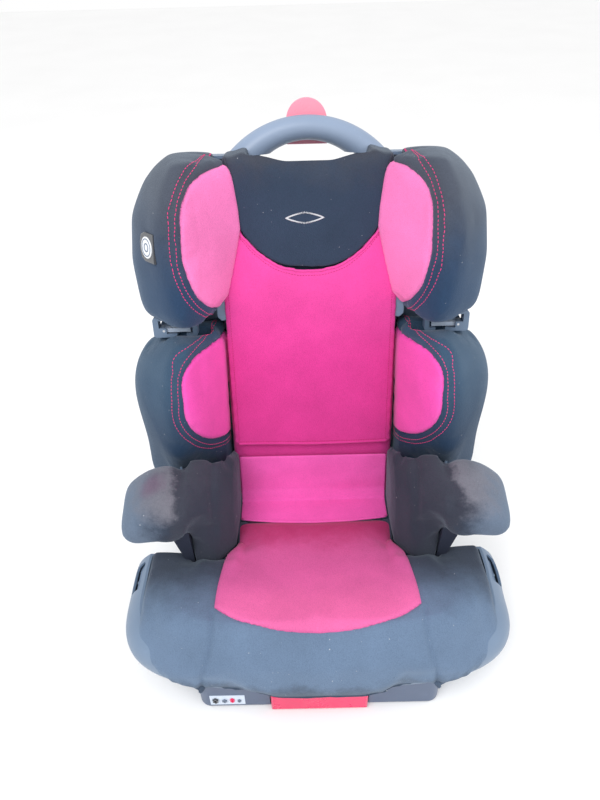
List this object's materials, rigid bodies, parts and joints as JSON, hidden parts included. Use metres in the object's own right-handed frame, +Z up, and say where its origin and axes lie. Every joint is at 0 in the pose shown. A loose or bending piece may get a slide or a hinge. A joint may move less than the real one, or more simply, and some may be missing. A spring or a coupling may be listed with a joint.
{
  "type": "high-back booster seat",
  "caption": "High-back child booster seat: padded winged headrest that slides up, side wings, armrests, reclining base with a pull handle and retractable anchor arms.",
  "frame": {"origin": "centre of the base's flat underside, on the surface the seat stands on", "axes": "+Z up; +Y towards the backrest; +X to the right of a person facing the seat"},
  "size_m": [0.4965, 0.4539, 0.6242],
  "materials": {
    "grey_plastic": "moulded polypropylene, fine spark-eroded texture, slight sheen",
    "base_plastic": "moulded polypropylene, fine texture",
    "light_plastic": "smooth moulded plastic",
    "white_plastic": "natural acetal",
    "red_plastic": "smooth moulded plastic, pinkish red",
    "steel": "zinc plated",
    "black_fabric": "woven polyester over foam, blue-black, with pink double stitching on the wings",
    "pink_fabric": "brushed knit polyester over foam, hot pink",
    "label": "white sticker",
    "badge": "printed round plaque with plain rings"
  },
  "bodies": {
    "recline_base": {"base_tray": "base_plastic", "base_deck": "base_plastic", "deck_screws": "steel", "front_label": "label"},
    "front_handle": {"front_handle": "red_plastic", "pawl_pin": "steel"},
    "recline_pawl": {"recline_pawl": "steel"},
    "isofix_arms": {"isofix_bars": "steel", "isofix_housing_left": "base_plastic", "isofix_housing_right": "base_plastic", "isofix_hook_pin_left": "steel", "isofix_hook_pin_right": "steel"},
    "isofix_hook_left": {"isofix_hook_left": "steel"},
    "isofix_hook_right": {"isofix_hook_right": "steel"},
    "isofix_button_left": {"isofix_button_left": "red_plastic"},
    "isofix_button_right": {"isofix_button_right": "red_plastic"},
    "seat": {"seat_shell": "grey_plastic", "rail_shoes": "white_plastic", "shoe_screws": "steel", "recline_rack": "white_plastic", "seat_cushion": "black_fabric", "backrest_rod": "steel", "armrest_screws": "steel", "side_clip_cover_left": "grey_plastic", "side_clip_cover_right": "grey_plastic", "hip_bolster_left": "black_fabric", "hip_bolster_right": "black_fabric", "armrest_frame_left": "grey_plastic", "armrest_frame_right": "grey_plastic", "armrest_pad_left": "black_fabric", "armrest_pad_right": "black_fabric"},
    "backrest": {"back_frame": "grey_plastic", "height_rack": "white_plastic", "back_cover": "grey_plastic", "back_screws": "steel", "back_pad": "pink_fabric", "lower_flap": "pink_fabric", "torso_wing_left": "black_fabric", "torso_wing_right": "black_fabric"},
    "headrest": {"headrest_frame": "grey_plastic", "headrest_shell": "grey_plastic", "headrest_screws": "steel", "carry_handle": "grey_plastic", "head_pad": "black_fabric", "apron": "pink_fabric", "head_wing_left": "black_fabric", "head_wing_right": "black_fabric", "belt_guide_left": "grey_plastic", "belt_guide_right": "grey_plastic", "gate_pin_left": "steel", "gate_pin_right": "steel", "side_badge": "badge"},
    "height_lever": {"height_lever": "red_plastic"},
    "lock_slider": {"lock_slider": "steel"},
    "belt_gate_left": {"belt_gate_left": "light_plastic"},
    "belt_gate_right": {"belt_gate_right": "light_plastic"}
  },
  "joints": [
    {"name": "recline", "type": "hinge", "parent": "recline_base", "child": "seat", "pos_m": [0, 0, 0.64], "axis": [-1, 0, 0], "range_deg": [0, 6]},
    {"name": "front_handle_pull", "type": "slide", "parent": "recline_base", "child": "front_handle", "axis": [0, -1, 0], "range_m": [0, 0.012], "stiffness_N_per_m": 800, "springref_m": -0.002},
    {"name": "pawl_drop", "type": "slide", "parent": "recline_base", "child": "recline_pawl", "axis": [0, 0, -1], "range_m": [0, 0.005]},
    {"name": "isofix_slide", "type": "slide", "parent": "recline_base", "child": "isofix_arms", "axis": [0, 1, 0], "range_m": [0, 0.08]},
    {"name": "isofix_button_press_left", "type": "slide", "parent": "isofix_arms", "child": "isofix_button_left", "axis": [0, 1, 0], "range_m": [0, 0.006], "stiffness_N_per_m": 600, "springref_m": -0.002},
    {"name": "isofix_button_press_right", "type": "slide", "parent": "isofix_arms", "child": "isofix_button_right", "axis": [0, 1, 0], "range_m": [0, 0.006], "stiffness_N_per_m": 600, "springref_m": -0.002},
    {"name": "isofix_hook_turn_left", "type": "hinge", "parent": "isofix_arms", "child": "isofix_hook_left", "pos_m": [-0.14, 0.182, 0.028], "axis": [1, 0, 0], "range_deg": [0, 30]},
    {"name": "isofix_hook_turn_right", "type": "hinge", "parent": "isofix_arms", "child": "isofix_hook_right", "pos_m": [0.14, 0.182, 0.028], "axis": [1, 0, 0], "range_deg": [0, 30]},
    {"name": "backrest_tilt", "type": "hinge", "parent": "seat", "child": "backrest", "pos_m": [0, 0.1195, 0.1004], "axis": [-1, 0, 0], "range_deg": [0, 10]},
    {"name": "headrest_height", "type": "slide", "parent": "backrest", "child": "headrest", "axis": [0, 0.1934, 0.9811], "range_m": [0, 0.18]},
    {"name": "height_lever_press", "type": "slide", "parent": "headrest", "child": "height_lever", "axis": [0, -0.1934, -0.9811], "range_m": [0, 0.004], "stiffness_N_per_m": 1500, "springref_m": -0.003},
    {"name": "lock_slide", "type": "slide", "parent": "headrest", "child": "lock_slider", "axis": [0, 0.1934, 0.9811], "range_m": [0, 0.004]},
    {"name": "belt_gate_swing_left", "type": "hinge", "parent": "headrest", "child": "belt_gate_left", "pos_m": [-0.184, 0.11193, 0.38779], "axis": [0, -0.9811, 0.1934], "range_deg": [0, 14], "stiffness_Nm_per_rad": 0.05, "springref_deg": -8.59},
    {"name": "belt_gate_swing_right", "type": "hinge", "parent": "headrest", "child": "belt_gate_right", "pos_m": [0.184, 0.11193, 0.38779], "axis": [0, 0.9811, -0.1934], "range_deg": [0, 14], "stiffness_Nm_per_rad": 0.05, "springref_deg": -8.59}
  ],
  "couplings": [
    {"joint": "pawl_drop", "follows": "front_handle_pull", "ratio": 0.41666},
    {"joint": "isofix_hook_turn_left", "follows": "isofix_button_press_left", "rad_per_m": 87.256},
    {"joint": "isofix_hook_turn_right", "follows": "isofix_button_press_right", "rad_per_m": 87.256},
    {"joint": "lock_slide", "follows": "height_lever_press", "ratio": 1}
  ]
}
